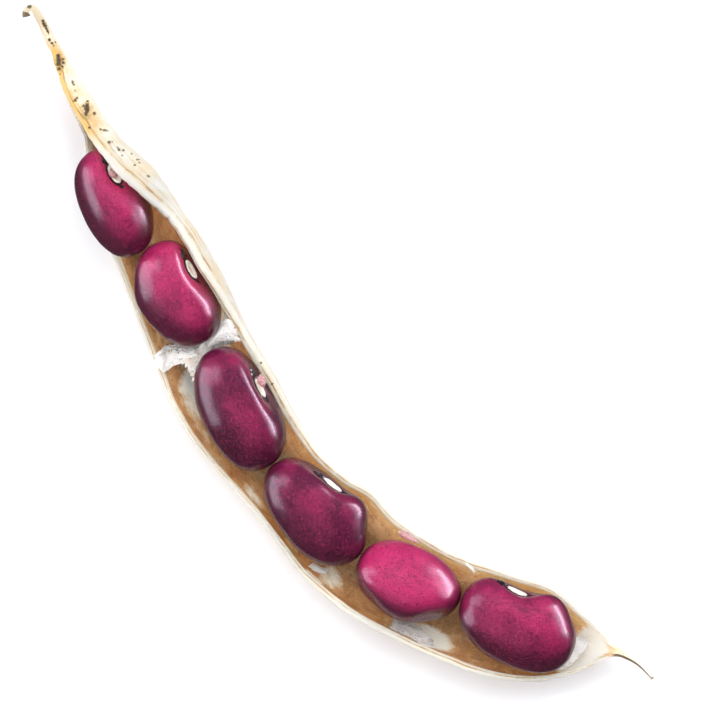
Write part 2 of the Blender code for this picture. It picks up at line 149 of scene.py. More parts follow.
# Spots of grey-black mould on the outside near the stalk: x, y, radius.
MOULD_SPOTS = [
    (-48.5, 0.2, 0.26), (-48.25, 0.13, 0.26), (-48.0, 0.05, 0.26), (-47.75, -0.03, 0.24),
    (-47.5, -0.1, 0.22), (-47.3, -0.18, 0.2), (-47.1, -0.25, 0.16),
    (-46.5, -0.65, 0.22), (-46.0, -0.7, 0.2), (-45.9, -0.35, 0.14), (-45.7, -0.75, 0.14),
    (-44.5, -1.15, 0.34), (-44.1, -1.45, 0.42), (-43.8, -1.75, 0.4), (-43.4, -2.05, 0.3),
    (-43.6, -1.3, 0.3), (-43.9, -1.0, 0.18), (-43.3, -1.6, 0.18), (-42.9, -2.35, 0.14),
    (-41.3, -1.95, 0.22), (-41.0, -2.05, 0.16), (-40.4, -2.4, 0.1),
    (-39.65, -2.8, 0.2), (-39.6, -3.1, 0.24), (-39.7, -3.35, 0.14),
    (-38.3, -2.55, 0.38), (-38.0, -2.8, 0.46), (-37.75, -3.1, 0.36), (-37.6, -3.35, 0.22),
    (-38.6, -2.2, 0.2), (-37.1, -2.55, 0.24), (-38.5, -2.85, 0.22), (-36.3, -4.0, 0.2),
    (-36.0, -2.75, 0.08), (-35.3, -3.25, 0.2), (-34.95, -3.0, 0.22), (-34.7, -2.8, 0.14),
    (-33.6, -3.5, 0.24), (-33.4, -3.2, 0.14), (-32.3, -3.25, 0.22), (-31.9, -3.0, 0.18),
    (-32.6, -3.2, 0.12), (-31.55, -3.45, 0.14), (-31.0, -2.55, 0.14), (-30.1, -2.55, 0.16),
    (-29.7, -2.6, 0.14), (-29.85, -3.15, 0.16), (-29.95, -2.35, 0.1), (-27.9, -2.85, 0.16),
    (-28.1, -2.95, 0.1), (-4.6, -7.8, 0.18), (-2.1, -8.5, 0.2), (-0.6, -9.0, 0.12),
]

# Olive stains round the larger groups of spots: x, y, radius.
OLIVE_STAINS = [
    (-44.0, -1.5, 1.2), (-43.4, -2.0, 0.8), (-38.1, -2.8, 1.1), (-37.4, -3.3, 0.8),
]
# Darker ends: x where they begin and are full, and the hook's x, y and two radii.
BEAK_DARK, TIP_DARK = (43.8, 46.0), (49.6, 50.2)
HOOK_DARK = (-50.75, 0.25, 0.5, 0.42)

# White lining that still clings to the inside: x, share from bean seam to back seam, half
# length in millimetres, half share, and how opaque it is.
CLINGING_LINING = [
    (-12.0, 0.86, 1.2, 0.1, 1.0), (-10.6, 0.45, 2.0, 0.34, 0.85), (-9.6, 0.12, 2.4, 0.1, 0.9),
    (-8.0, 0.68, 2.0, 0.2, 0.75), (-6.0, 0.76, 3.0, 0.16, 0.5), (-2.8, 0.86, 2.4, 0.08, 0.3),
    (5.6, 0.86, 1.8, 0.09, 0.45), (17.6, 0.78, 1.6, 0.14, 0.5), (16.0, 0.93, 1.3, 0.05, 1.0),
    (28.6, 0.8, 3.0, 0.13, 0.95), (33.6, 0.94, 2.4, 0.04, 0.3),
    (43.2, 0.5, 1.7, 0.55, 1.0), (42.4, 0.75, 1.4, 0.3, 0.8),
]


def srgb(code):
    """A colour as a shader takes it, from its hex code."""
    parts = [int(code[k:k + 2], 16) / 255 for k in (1, 3, 5)]
    return (*[p / 12.92 if p <= 0.04045 else ((p + 0.055) / 1.055) ** 2.4 for p in parts], 1.0)


def smooth_between(value, low, high):
    """0 at low, 1 at high, and a smooth step between them."""
    t = np.clip((value - low) / (high - low), 0, 1)
    return t * t * (3 - 2 * t)


def smooth_row(rows, place):
    """Read a table between its rows, on a smooth curve through each column."""
    last = len(rows) - 1
    index = min(int(place), last - 1)
    t = place - index
    before, here = rows[max(index - 1, 0)], rows[index]
    after, beyond = rows[index + 1], rows[min(index + 2, last)]
    pull, push = (after - before) / 2, (beyond - here) / 2
    return ((2 * t**3 - 3 * t**2 + 1) * here + (t**3 - 2 * t**2 + t) * pull
            + (3 * t**2 - 2 * t**3) * after + (t**3 - t**2) * push)


def ripple(x, y, z, size, seed):
    """Smooth noise between about -1 and 1 whose waves are about size long."""
    return noise.noise(Vector((x / size + seed * 7.3, y / size - seed * 3.1, z / size + seed)))


def tube_faces(rings, around):
    """Faces of a tube made of rings of points, closed at both ends."""
    faces = [
        (r * around + k, (r + 1) * around + k,
         (r + 1) * around + (k + 1) % around, r * around + (k + 1) % around)
        for r in range(rings - 1) for k in range(around)
    ]
    return faces + [tuple(range(around)), tuple(range((rings - 1) * around, rings * around))[::-1]]


def tear_depth(edge, x):
    """How far an edge is worn, in waves of 1.1 and 0.45 mm, or torn back at x."""
    worn = 0.08 * (1 + ripple(x, 0, 0, 1.1, 3 + edge)) + 0.06 * ripple(x, 0, 0, 0.45, 5 + edge)
    torn = sum(
        depth * np.exp(-abs((x - at) / half) ** 1.6)
        for side, at, depth, half in TEARS if side == edge
    )
    return max(worn + torn, 0.0)


def wall_section(place, shares):
    """Outside and inside of the wall at a place in the stations, for shares of the way from the
    bean seam to the back seam, and each point's distance in millimetres from the bean seam."""
    row = smooth_row(STATIONS, place)
    ahead = smooth_row(STATIONS, min(place + 0.02, len(STATIONS) - 1.0))
    behind = smooth_row(STATIONS, max(place - 0.02, 0.0))
    travel = (ahead[:4] - behind[:4]).reshape(2, 2).mean(axis=0)
    forward = np.array([travel[0], travel[1], 0.0])
    across = np.array([row[0] - row[2], row[1] - row[3], row[4]])
    outward = np.cross(across, forward)
    outward /= np.linalg.norm(outward)
    width = np.linalg.norm(across)
    across = across / width
    middle_x, middle_y = (row[0] + row[2]) / 2, (row[1] + row[3]) / 2
    depth, lip, solid = row[6], radians(max(row[7], 0.0)), min(max(row[8], 0.0), 1.0)

    turn = -lip + shares * (pi + 2 * lip)
    half_width = width / 2 / cos(lip)
    half_depth = depth / (1 + sin(lip))
    along = half_width * np.sign(np.cos(turn)) * np.abs(np.cos(turn)) ** (2 / FULLNESS)
    out = half_depth * np.sign(np.sin(turn)) * np.abs(np.sin(turn)) ** (2 / FULLNESS)
    normal = np.stack([
        np.sign(along) * (np.abs(along) / half_width) ** (FULLNESS - 1) / half_width,
        np.sign(out) * (np.abs(out) / half_depth) ** (FULLNESS - 1) / half_depth,
    ], axis=1)
    normal /= np.linalg.norm(normal, axis=1)[:, None]
    flat = np.stack([along, out + half_depth * sin(lip) ** (2 / FULLNESS)], axis=1)
    drawn = sum(np.exp(-(((middle_x - c) / PINCH_LENGTH) ** 2)) for c in PINCHES)
    flat -= normal * (PINCH * drawn * (1 - solid) * np.clip(flat[:, 1] / depth, 0, 1))[:, None]

    steps = np.linalg.norm(np.diff(flat, axis=0), axis=1)
    around = np.concatenate([[0.0], np.cumsum(steps)])
    total = around[-1]
    around = around + tear_depth(0, middle_x)
    rims = np.array(RIM_WALLS)
    wall = np.full(len(flat), WALL)
    for rim, from_edge in ((1, around), (2, total - around + 0.1)):
        extra = np.interp(middle_x, rims[:, 0], rims[:, rim]) - WALL
        wall += extra * (1 - smooth_between(from_edge, 0.2, RIM_TAPER))
    hollow = flat - normal * wall[:, None]
    lid = np.stack([flat[:, 0] * LID_WIDTH, -LID_HEIGHT * flat[:, 1] - LID_DROP], axis=1)
    inner = hollow * (1 - solid) + lid * solid

    strand = np.zeros(len(flat))
    for side, strands in ((around, SEAM_STRANDS), (total - around, BACK_STRANDS)):
        for at, height, half in strands:
            strand += height * np.exp(-((side - at) / half) ** 2)
    strand *= min(1.0, width / 4)
    relief = np.array([
        sum(high * ripple(middle_x * drawn_out, s, 0, size, seed)
            for high, size, drawn_out, seed in RELIEF) for s in around
    ]) * min(1.0, width / 5) * (1 - solid)
    outer = flat + normal * (strand + relief)[:, None]
    inner = inner + normal * (relief * (1 - solid))[:, None]

    low = min(flat[:, 0] * across[2] + flat[:, 1] * outward[2])
    base = np.array([middle_x, middle_y, row[5] - low - REST_FLAT])
    outer = base + outer[:, :1] * across + outer[:, 1:] * outward
    inner = base + inner[:, :1] * across + inner[:, 1:] * outward
    outer[:, 2] = np.maximum(outer[:, 2], 0.0)
    return outer, inner, around


def make_piece(name, points, faces, surface, values=None):
    """A smooth mesh piece from points in the layout, with a value kept at each of its points."""
    mesh = bpy.data.meshes.new(name)
    mesh.from_pydata((np.asarray(points) + POD_SHIFT) * MM, [], faces)
    for label, numbers in (values or {}).items():
        numbers = np.asarray(numbers, np.float32)
        kind, key = ("FLOAT_VECTOR", "vector") if numbers.ndim == 2 else ("FLOAT", "value")
        mesh.attributes.new(label, kind, "POINT").data.foreach_set(key, numbers.ravel())
    mesh.validate()
    mesh.shade_smooth()
    mesh.materials.append(surface)
    made = bpy.data.objects.new(name, mesh)
    bpy.context.scene.collection.objects.link(made)
    return made


def set_inputs(node, inputs):
    """Link each input to the output that is given for it, or set it to the value."""
    for socket, value in inputs.items():
        if isinstance(value, bpy.types.NodeSocket):
            tree.links.new(value, node.inputs[socket])
        else:
            node.inputs[socket].default_value = value


def add(kind, inputs=None, out=0, **settings):
    """Add a node to the material in hand, with its settings and inputs: one output of it."""
    made = tree.nodes.new(f"ShaderNode{kind}")
    for label, value in settings.items():
        setattr(made, label, value)
    set_inputs(made, inputs or {})
    return made.outputs[out]


def new_finish(name):
    """A new material: the material, its nodes, and its Principled shader."""
    made = bpy.data.materials.new(name)
    made.use_nodes = True
    return made, made.node_tree, made.node_tree.nodes["Principled BSDF"]


# Dried pod wall, grown and air-dried: the outside is cream with a silky gleam, the inside tan
# with fine slanting fibres. Amber lines follow the strands, and grey-black mould sits in spots.
pod_wall, tree, shader = new_finish("dried_pod_wall")
place = add("Attribute", out="Vector", attribute_name="wall_mm")
along, around, inside = add("SeparateXYZ", {0: place}).node.outputs
line, golden_part, film, edge, spot, olive, dark_ends = (
    add("Attribute", out="Fac", attribute_name=label)
    for label in ("line_mm", "golden", "film", "edge_mm", "mould", "olive", "dark_ends")
)

# Mottles of 5 mm, fibres 0.35 mm apart that slant across the pod, and grain of 0.17 mm.
mottle = add("TexNoise", {"Vector": place, "Scale": 0.22, "Detail": 4.0, "Roughness": 0.6})
slant = add("Mapping", {"Vector": place, "Rotation": (0, 0, radians(-32)),
                        "Scale": (0.16, 1.9, 1.0)})
fibre = add("TexNoise", {"Vector": slant, "Scale": 1.5, "Detail": 5.0, "Roughness": 0.65})
grain = add("TexNoise", {"Vector": place, "Scale": 6.0, "Detail": 3.0, "Roughness": 0.6})
long_ways = add("Mapping", {"Vector": place, "Scale": (0.12, 2.2, 1.0)})
streak = add("TexNoise", {"Vector": long_ways, "Scale": 1.4, "Detail": 4.0, "Roughness": 0.6})

# Outside: cream, with soft pinkish-tan mottles and tan furrows.
warm = add("MapRange", {0: mottle, 1: 0.42, 2: 0.66})
outside = add("Mix", {0: warm, 6: srgb("#FFEAD6"), 7: srgb("#F6CDA8")}, 2, data_type="RGBA")
vein = add("MapRange", {0: fibre, 1: 0.52, 2: 0.72, 4: 0.30})
furrow = add("MapRange", {0: streak, 1: 0.55, 2: 0.66, 4: 0.70})

# Fine reddish-brown lines along the pod, some only short flecks.
flecks = add("Mapping", {"Vector": place, "Scale": (0.45, 4.0, 1.0)})
flecks = add("TexNoise", {"Vector": flecks, "Scale": 1.6, "Detail": 5.0, "Roughness": 0.7})
flecks = add("MapRange", {0: flecks, 1: 0.60, 2: 0.72, 4: 0.70})

# Towards the stalk the edge is golden and the wall beside it is stained orange.
wander = add("Math", {0: streak, 1: 0.5}, operation="SUBTRACT")
wander = add("Math", {0: wander, 1: 1.3, 2: line}, operation="MULTIPLY_ADD")
stained = add("MapRange", {0: wander, 1: 2.9, 2: 0.1, 4: 1.0}, interpolation_type="SMOOTHSTEP")
blotch = add("MapRange", {0: mottle, 1: 0.38, 2: 0.60})
stained = add("Math", {0: stained, 1: blotch}, operation="MULTIPLY")
stained = add("Math", {0: stained, 1: golden_part}, operation="MULTIPLY")
golden = add("MapRange", {0: line, 1: 0.05, 2: -0.18, 4: 0.88}, interpolation_type="SMOOTHSTEP")
golden = add("Math", {0: golden, 1: golden_part}, operation="MULTIPLY")
# The last few millimetres of the stalk are grey.
stalk_end = add("MapRange", {0: along, 1: 7.0, 2: 3.0, 4: 0.75})

# The amber line in the groove beside the strands, broken up by the streaks.
wander = add("Math", {0: wander}, operation="ABSOLUTE")
halo = add("MapRange", {0: wander, 1: 0.50, 2: 0.05, 4: 0.40}, interpolation_type="SMOOTHSTEP")
core = add("MapRange", {0: wander, 1: 0.16, 2: 0.04, 4: 0.85}, interpolation_type="SMOOTHSTEP")
broken = add("MapRange", {0: mottle, 1: 0.40, 2: 0.56, 3: 0.10})
broken = add("Math", {0: broken, 1: golden_part}, operation="MAXIMUM")
core = add("Math", {0: core, 1: broken}, operation="MULTIPLY")
for share, colour in (
    (vein, "#D2AE84"), (furrow, "#CB9C68"), (flecks, "#B98458"), (stained, "#D09C68"),
    (golden, "#C8A058"), (stalk_end, "#8F8C78"), (halo, "#D9B27C"), (core, "#94682E"),
):
    outside = add("Mix", {0: share, 6: outside, 7: srgb(colour)}, 2, data_type="RGBA")

# Inside: tan, with browner fibres, and painted light under the bean seam: a brighter orange where
# light glows through the thin wall.
seam_glow_side = add("MapRange", {0: around, 1: 5.5, 2: 1.5})
inner_wall = add("Mix", {0: seam_glow_side, 6: srgb("#BB9068"), 7: srgb("#FFC9A0")}, 2, data_type="RGBA")
dark_fibre = add("MapRange", {0: fibre, 1: 0.48, 2: 0.70, 4: 0.45})
pale_patch = add("MapRange", {0: mottle, 1: 0.52, 2: 0.66, 4: 0.45})
# Brown stains, heavier away from the bean seam, where they are partly painted shade, and fine dark
# creases where the wall shrank.
soiled = add("TexNoise", {"Vector": place, "Scale": 0.55, "Detail": 7.0, "Roughness": 0.7,
                          "Distortion": 0.6})
stained = add("MapRange", {0: soiled, 1: 0.48, 2: 0.66, 4: 0.75})
stain_and_shade_weight = add("MapRange", {0: seam_glow_side, 3: 1.0, 4: 0.40})
stained = add("Math", {0: stained, 1: stain_and_shade_weight}, operation="MULTIPLY")
crease = add("Math", {0: soiled, 1: 0.5}, operation="SUBTRACT")
crease = add("Math", {0: crease}, operation="ABSOLUTE")
crease = add("MapRange", {0: crease, 1: 0.013, 2: 0.0, 4: 0.8})
pale_fleck = add("MapRange", {0: grain, 1: 0.55, 2: 0.72, 4: 0.5})

# The lining that still clings: a white film, thin at its ragged edges.
frayed = add("TexNoise", {"Vector": place, "Scale": 0.9, "Detail": 6.0, "Roughness": 0.68,
                          "Distortion": 0.8})
film = add("Math", {0: frayed, 1: 1.1, 2: film}, operation="MULTIPLY_ADD")
film = add("MapRange", {0: film, 1: 0.70, 2: 1.30, 4: 0.94}, interpolation_type="SMOOTHSTEP")
for share, colour in (
    (dark_fibre, "#A5733F"), (pale_patch, "#E6D2B6"), (stained, "#6E4420"),
    (crease, "#64401C"), (pale_fleck, "#E3C69E"), (film, "#FFEFDD"),
):
    inner_wall = add("Mix", {0: share, 6: inner_wall, 7: srgb(colour)}, 2, data_type="RGBA")
both = add("Mix", {0: inside, 6: outside, 7: inner_wall}, 2, data_type="RGBA")

# The edges of the wall are pale strands, with a fine brown line between the strands.
strand = add("Math", {0: grain, 1: 0.5, 2: edge}, operation="MULTIPLY_ADD")
strand = add("MapRange", {0: strand, 1: 1.05, 2: 0.80, 4: 0.88}, interpolation_type="SMOOTHSTEP")
plain_part = add("Math", {0: 1.0, 1: golden_part}, operation="SUBTRACT")
strand = add("Math", {0: strand, 1: plain_part}, operation="MULTIPLY")
seam_line = add("Math", {0: streak, 1: 0.5, 2: edge}, operation="MULTIPLY_ADD")
seam_line = add("MapRange", {0: seam_line, 1: -0.42, 2: -0.62, 4: 0.75},
                interpolation_type="SMOOTHSTEP")
seam_line = add("Math", {0: seam_line, 1: broken}, operation="MULTIPLY")

# Mould: olive around the edge of a spot, black within it. Stalk end and beak are grey-black.
ragged = add("TexNoise", {"Vector": place, "Scale": 3.2, "Detail": 6.0, "Roughness": 0.75})
spot = add("Math", {0: ragged, 1: 2.2, 2: spot}, operation="MULTIPLY_ADD")
stain = add("MapRange", {0: spot, 1: 0.80, 2: 1.45, 4: 0.60}, interpolation_type="SMOOTHSTEP")
olive = add("Math", {0: ragged, 1: 2.4, 2: olive}, operation="MULTIPLY_ADD")
olive = add("MapRange", {0: olive, 1: 1.35, 2: 1.95, 4: 0.75}, interpolation_type="SMOOTHSTEP")
stain = add("Math", {0: stain, 1: olive}, operation="MAXIMUM")
black = add("MapRange", {0: spot, 1: 1.18, 2: 1.68, 4: 0.95}, interpolation_type="SMOOTHSTEP")
dark_ends = add("Math", {0: ragged, 1: 0.8, 2: dark_ends}, operation="MULTIPLY_ADD")
dark_ends = add("MapRange", {0: dark_ends, 1: 0.75, 2: 1.15, 4: 0.92},
               interpolation_type="SMOOTHSTEP")
for share, colour in ((strand, "#FBE3CB"), (seam_line, "#B07C48"), (stain, "#93854E"),
                      (black, "#25241B"), (dark_ends, "#302B20")):
    both = add("Mix", {0: share, 6: both, 7: srgb(colour)}, 2, data_type="RGBA")

rough = add("MapRange", {0: grain, 1: 0.3, 2: 0.7, 3: 0.46, 4: 0.66})
height = add("Math", {0: fibre, 1: 2.2, 2: grain}, operation="MULTIPLY_ADD")
height = add("Math", {0: streak, 1: 2.6, 2: height}, operation="MULTIPLY_ADD")
bump = add("Bump", {"Height": height, "Strength": 0.6, "Distance": 0.07 * MM})
# Light glows through the dry wall, which is under a millimetre thick.
set_inputs(shader, {
    "Base Color": both, "Roughness": rough, "Specular IOR Level": 0.35,
    "Subsurface Weight": 1.0, "Subsurface Radius": (1.0, 0.84, 0.70),
    "Subsurface Scale": 4.2 * MM, "Normal": bump,
})

# Rows of the shell: closer together towards the stalk, where the spots are.
middles = np.stack([
    (STATIONS[:, 0] + STATIONS[:, 2]) / 2, (STATIONS[:, 1] + STATIONS[:, 3]) / 2,
], axis=1)
station_gaps = np.linalg.norm(np.diff(middles, axis=0), axis=1)
row_places = []
for k, gap in enumerate(station_gaps):
    spacing = FINE_ROW if middles[k, 0] < FINE_UNTIL else COARSE_ROW
    count = max(2, round(gap / spacing))
    row_places += [k + j / count for j in range(count)]
row_places.append(len(STATIONS) - 1.0)
travelled = np.concatenate([[0.0], np.cumsum(station_gaps)])

shell_points, wall_mm, line_mm, edge_mm, mould, olive_value = ([] for _ in range(6))
golden_value, film_value, dark_ends_value = ([] for _ in range(3))
ring_size = 2 * (POD_COLUMNS + 1 + RIM_POINTS)
rim_groove = -1 + np.abs(np.arange(1, RIM_POINTS + 1) / (RIM_POINTS + 1) - 0.5) * 2
spots, stains = np.array(MOULD_SPOTS), np.array(OLIVE_STAINS)
for row_place in row_places:
    row = smooth_row(STATIONS, row_place)
    x_here = (row[0] + row[2]) / 2
    # The wall is about this long around, and only its deeper part is torn.
    length = max(np.linalg.norm(row[:2] - row[2:4]) + 2.4 * row[6], 1.0)
    start, stop = 0.0, 1.0
    if row[6] > 0.5:
        start, stop = tear_depth(0, x_here) / length, 1 - tear_depth(1, x_here) / length
    # Columns crowd towards both edges, where the strands are.
    even = np.linspace(0, 1, POD_COLUMNS + 1)
    shares = start + (stop - start) * (even - CROWDING * np.sin(2 * pi * even))
    outer, inner, around_mm = wall_section(row_place, shares)
    lips = []
    for end, neighbour in ((-1, -2), (0, 1)):
        off = outer[end] - outer[neighbour] + inner[end] - inner[neighbour]
        off = off / max(np.linalg.norm(off), 1e-9)
        gap = np.linalg.norm(outer[end] - inner[end])
        # The edge is rounded, with a groove along its middle where it is thick enough.
        across_rim = np.arange(1, RIM_POINTS + 1)[:, None] / (RIM_POINTS + 1)
        bulge = np.sin(pi * across_rim) ** RIM_ROUNDING
        dip = np.exp(-((across_rim - 0.5) / RIM_GROOVE[1]) ** 2)
        bulge -= RIM_GROOVE[0] * min(gap, 1.0) ** 2 * dip
        lip = outer[end] + (inner[end] - outer[end]) * across_rim
        lips.append(lip + off * min(RIM_CAP, RIM_CAP_SHARE * gap) * bulge)
    ring = np.concatenate([outer, lips[0], inner[::-1], lips[1][::-1]])
    shell_points.append(ring)

    at = np.interp(row_place, range(len(travelled)), travelled)
    total_mm = around_mm[-1]
    ring_around = np.concatenate([
        around_mm, np.full(RIM_POINTS, total_mm), around_mm[::-1],
        np.full(RIM_POINTS, around_mm[0]),
    ])
    columns = POD_COLUMNS + 1
    hollow_here = 1 - np.clip(row[8], 0, 1)
    ring_inside = np.concatenate([
        np.zeros(columns + RIM_POINTS), np.full(columns, hollow_here > 0.5),
        np.zeros(RIM_POINTS),
    ])
    wall_mm.append(np.stack([np.full(ring_size, at), ring_around, ring_inside], axis=1))
    golden = np.interp(x_here, *np.array(GOLDEN_LINE).T)
    gold_here = smooth_between(x_here, *GOLDEN_TO) * smooth_between(x_here, *GOLDEN_FROM)
    golden_value.append(np.full(ring_size, gold_here))
    slim = np.clip(total_mm / 9, 0.3, 1.0)
    lined = (ring_inside < 0.5) & (x_here < LINE_END)
    line_mm.append(np.where(lined, (ring_around - golden) / slim, 9.0))
    from_edge = np.minimum(ring_around - around_mm[0], total_mm - ring_around)
    from_edge[columns:columns + RIM_POINTS] = rim_groove
    from_edge[-RIM_POINTS:] = rim_groove
    edge_mm.append(from_edge + 3 * (1 - hollow_here))
    for marks, kept in ((spots, mould), (stains, olive_value)):
        gaps = np.hypot(ring[:, :1] - marks[:, 0], ring[:, 1:2] - marks[:, 1])
        near = np.max(1.0 - gaps / marks[:, 2], axis=1)
        near[(ring_inside > 0.5) | (ring_around > 0.75 * total_mm)] = -2.0
        kept.append(np.clip(near, -2.0, 1.0))
    shares_round = ring_around / total_mm
    white = np.full(ring_size, -1.0)
    for at_x, share, half_x, half_share, strength in CLINGING_LINING:
        away = ((x_here - at_x) / half_x) ** 2 + ((shares_round - share) / half_share) ** 2
        white = np.maximum(white, strength * (1.3 - away))
    film_value.append(np.where(ring_inside > 0.5, np.clip(white, -1, 1.2), -1.0))
    # The beak is dark along its back edge only, and the stalk at its cut end and round the hook.
    half_y = max(np.ptp(ring[:, 1]) / 2, 1e-6)
    below = (ring[:, 1].mean() - ring[:, 1]) / half_y
    tip = smooth_between(x_here, *BEAK_DARK) * smooth_between(below, -0.05, 0.35)
    tip = np.maximum(tip, smooth_between(x_here, *TIP_DARK))
    cut = smooth_between(-row_place, -1.5, -0.8)
    hook_x, hook_y, half_x, half_y = HOOK_DARK
    hook = np.exp(-((ring[:, 0] - hook_x) / half_x) ** 2 - ((ring[:, 1] - hook_y) / half_y) ** 2)
    dark_ends_value.append(np.maximum(np.maximum(tip, cut), hook) * 1.3 - 0.35)

pod_shell = make_piece(
    "pod_shell", np.concatenate(shell_points), tube_faces(len(shell_points), ring_size), pod_wall,
    {"wall_mm": np.concatenate(wall_mm), "line_mm": np.concatenate(line_mm),
     "edge_mm": np.concatenate(edge_mm), "mould": np.concatenate(mould),
     "golden": np.concatenate(golden_value), "olive": np.concatenate(olive_value),
     "film": np.concatenate(film_value), "dark_ends": np.concatenate(dark_ends_value)},
)
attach(pod_shell, "root")
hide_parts("pod_valve")


# Beans. Six ripe seeds, each kidney-shaped and hard, with a smooth glossy coat of maroon red.
# In its notch each has a cream eye, where its stalk held it to the seam, ringed in black, with
# a dark swelling at one end of the eye and a pinhole at the other.

# Centre x, y, z, turn seen from above, roll that lifts the notched side, length, width across
# the notch, thickness, where the eye is along the bean and how deep the notch is there, and the
# swellings of the outline: angle from the beak end towards the notch, height, spread in degrees.
BEANS = [
    ("bean_1", (-28.6, -7.6, 5.9), -19, 63, (12.7, 8.1, 6.8), (-2.6, 1.0),
     [(40, -0.4, 28), (-155, -1.1, 28)]),
    ("bean_2", (-16.45, -9.6, 5.1), -10, 34, (12.0, 8.4, 6.9), (-1.3, 1.0),
     [(62, -0.1, 24), (138, 0.8, 24), (-150, -0.9, 24)]),
    ("bean_3", (-2.65, -12.93, 4.85), -17, 26, (14.1, 8.6, 6.9), (-0.9, 1.1),
     [(62, -0.2, 24), (145, -0.15, 24), (-28, 0.3, 24), (-150, -0.4, 24)]),
    ("bean_4", (11.4, -14.6, 4.75), -5, 20, (13.8, 8.4, 6.9), (-1.1, 0.9),
     [(62, 1.1, 24), (145, -0.8, 24), (-28, -0.2, 24)]),
    ("bean_5", (24.22, -12.4, 4.7), 23, -25, (12.1, 8.5, 6.9), (-0.5, 0.5),
     [(40, -0.4, 26), (-35, -1.0, 26), (-135, -0.5, 26)]),
    ("bean_6", (35.85, -7.0, 4.9), 22, 18, (13.4, 8.6, 6.9), (-1.6, 0.8),
     [(62, 0.9, 24), (145, 0.6, 24), (-150, -0.2, 24)]),
]
# How far each coat has turned from maroon to crimson.
RIPENESS = {"bean_1": 0.48, "bean_2": 0.60, "bean_3": -0.10, "bean_4": -0.13, "bean_5": 0.90,
            "bean_6": 0.28}
# Painted shade on the flanks that face away from the light: how much, which way the lit side
# faces, and how squarely the skin must face that way where the painted shade begins and where it is
# full.
PAINTED_SHADE_STRENGTH = 0.93
LIT_SIDE = (-0.31, 0.29, 0.91)
PAINTED_SHADE_EDGES = (0.96, 0.38)

BEAN_FULLNESS = 2.25
LOBE_FLATTENING = 4
# Dents in the coat: depth, size and which noise. They rise little, as the wall is close.
DENTS = [(0.09, 4.6, 10), (0.03, 1.6, 20)]
DENT_LIMITS = (-0.2, 0.04)
NOTCH_HALF = (2.9, 1.9)
COAT_CLOSER = 0.11
BEAN_RINGS = 150
BEAN_SPOKES = 160
RING_CROWDING = 0.7
RING_STRETCH = (0.55, 0.5)
EYE_HALF = (1.15, 0.60)
EYE_LIFT = 0.16
EYE_SUNK = 0.10
EYE_GROOVE = 0.10
EYE_SWELLING = [(-1.72, 0.22, 0.40), (-1.78, -0.22, 0.40), (-2.20, 0.02, 0.34)]
SWELLING_LIFT = 0.16
PINHOLE_AT = 1.60
PINHOLE_RADIUS = 0.22


def bean_skin(directions, size, notch, lobes):
    """Points of a bean's skin in its own frame, for directions on the unit sphere."""
    full = (np.abs(directions) ** BEAN_FULLNESS).sum(axis=1) ** (-1 / BEAN_FULLNESS)
    points = directions * full[:, None] * np.array(size) / 2
    angle = np.arctan2(points[:, 1], points[:, 0])
    swelling = np.zeros(len(points))
    for where, height_mm, spread in lobes:
        off = (angle - radians(where) + pi) % (2 * pi) - pi
        swelling += height_mm * np.exp(-((off / radians(spread)) ** 2))
    swelling *= np.hypot(directions[:, 0], directions[:, 1]) ** LOBE_FLATTENING
    points[:, 0] += np.cos(angle) * swelling
    points[:, 1] += np.sin(angle) * swelling
    eye_x, depth_mm = notch
    off_eye = ((points[:, 0] - eye_x) / NOTCH_HALF[0]) ** 2 + (points[:, 2] / NOTCH_HALF[1]) ** 2
    points[:, 1] -= depth_mm * np.maximum(directions[:, 1], 0) * np.exp(-off_eye)
    return points


# Seed coat of a ripe bean, dried hard: a smooth maroon skin with a glassy gloss. Its colour
# pools in soft clouds, and a speckle finer than a grain of salt shows in it close up.
coat, tree, shader = new_finish("bean_seed_coat")
skin_mm = add("Attribute", out="Vector", attribute_name="skin_mm")
ripeness, painted_shade, eye, dark = (
    add("Attribute", out="Fac", attribute_name=label)
    for label in ("ripeness", "painted_shade", "eye", "eye_dark")
)
cloud = add("TexNoise", {"Vector": skin_mm, "Scale": 0.3, "Detail": 3.0, "Roughness": 0.5})
# Speckles 0.12 mm apart, a little coarser than real ones so that they show.
speckle = add("TexNoise", {"Vector": skin_mm, "Scale": 8.0, "Detail": 2.5, "Roughness": 0.6})
cloud = add("MapRange", {0: cloud, 1: 0.35, 2: 0.65})
cloud = add("Math", {0: cloud, 1: 0.5, 2: ripeness}, operation="MULTIPLY_ADD", use_clamp=True)
red = add("Mix", {0: cloud, 6: srgb("#500A30"), 7: srgb("#C02765")}, 2, data_type="RGBA")
smoky = add("TexNoise", {"Vector": skin_mm, "Scale": 0.42, "Detail": 5.0, "Roughness": 0.62,
                         "Distortion": 0.5})
smoky = add("MapRange", {0: smoky, 1: 0.48, 2: 0.72, 4: 0.45})
fleck = add("MapRange", {0: speckle, 1: 0.50, 2: 0.66, 4: 0.85})
dust = add("MapRange", {0: speckle, 1: 0.50, 2: 0.32, 4: 0.40})

# The eye: cream with a fine slit, in a black ring; the swelling and pinhole are black too.
frayed = add("TexNoise", {"Vector": skin_mm, "Scale": 3.0, "Detail": 4.0, "Roughness": 0.6})
eye = add("Math", {0: frayed, 1: 0.22, 2: eye}, operation="MULTIPLY_ADD")
dark = add("Math", {0: frayed, 1: 0.3, 2: dark}, operation="MULTIPLY_ADD")
dark = add("MapRange", {0: dark, 1: 0.55, 2: 0.80, 4: 0.96}, interpolation_type="SMOOTHSTEP")
ring = add("MapRange", {0: eye, 1: 1.44, 2: 1.30}, interpolation_type="SMOOTHSTEP")
cream = add("MapRange", {0: eye, 1: 1.18, 2: 1.04}, interpolation_type="SMOOTHSTEP")
middle = add("MapRange", {0: eye, 1: 0.62, 2: 0.35, 4: 0.55}, interpolation_type="SMOOTHSTEP")
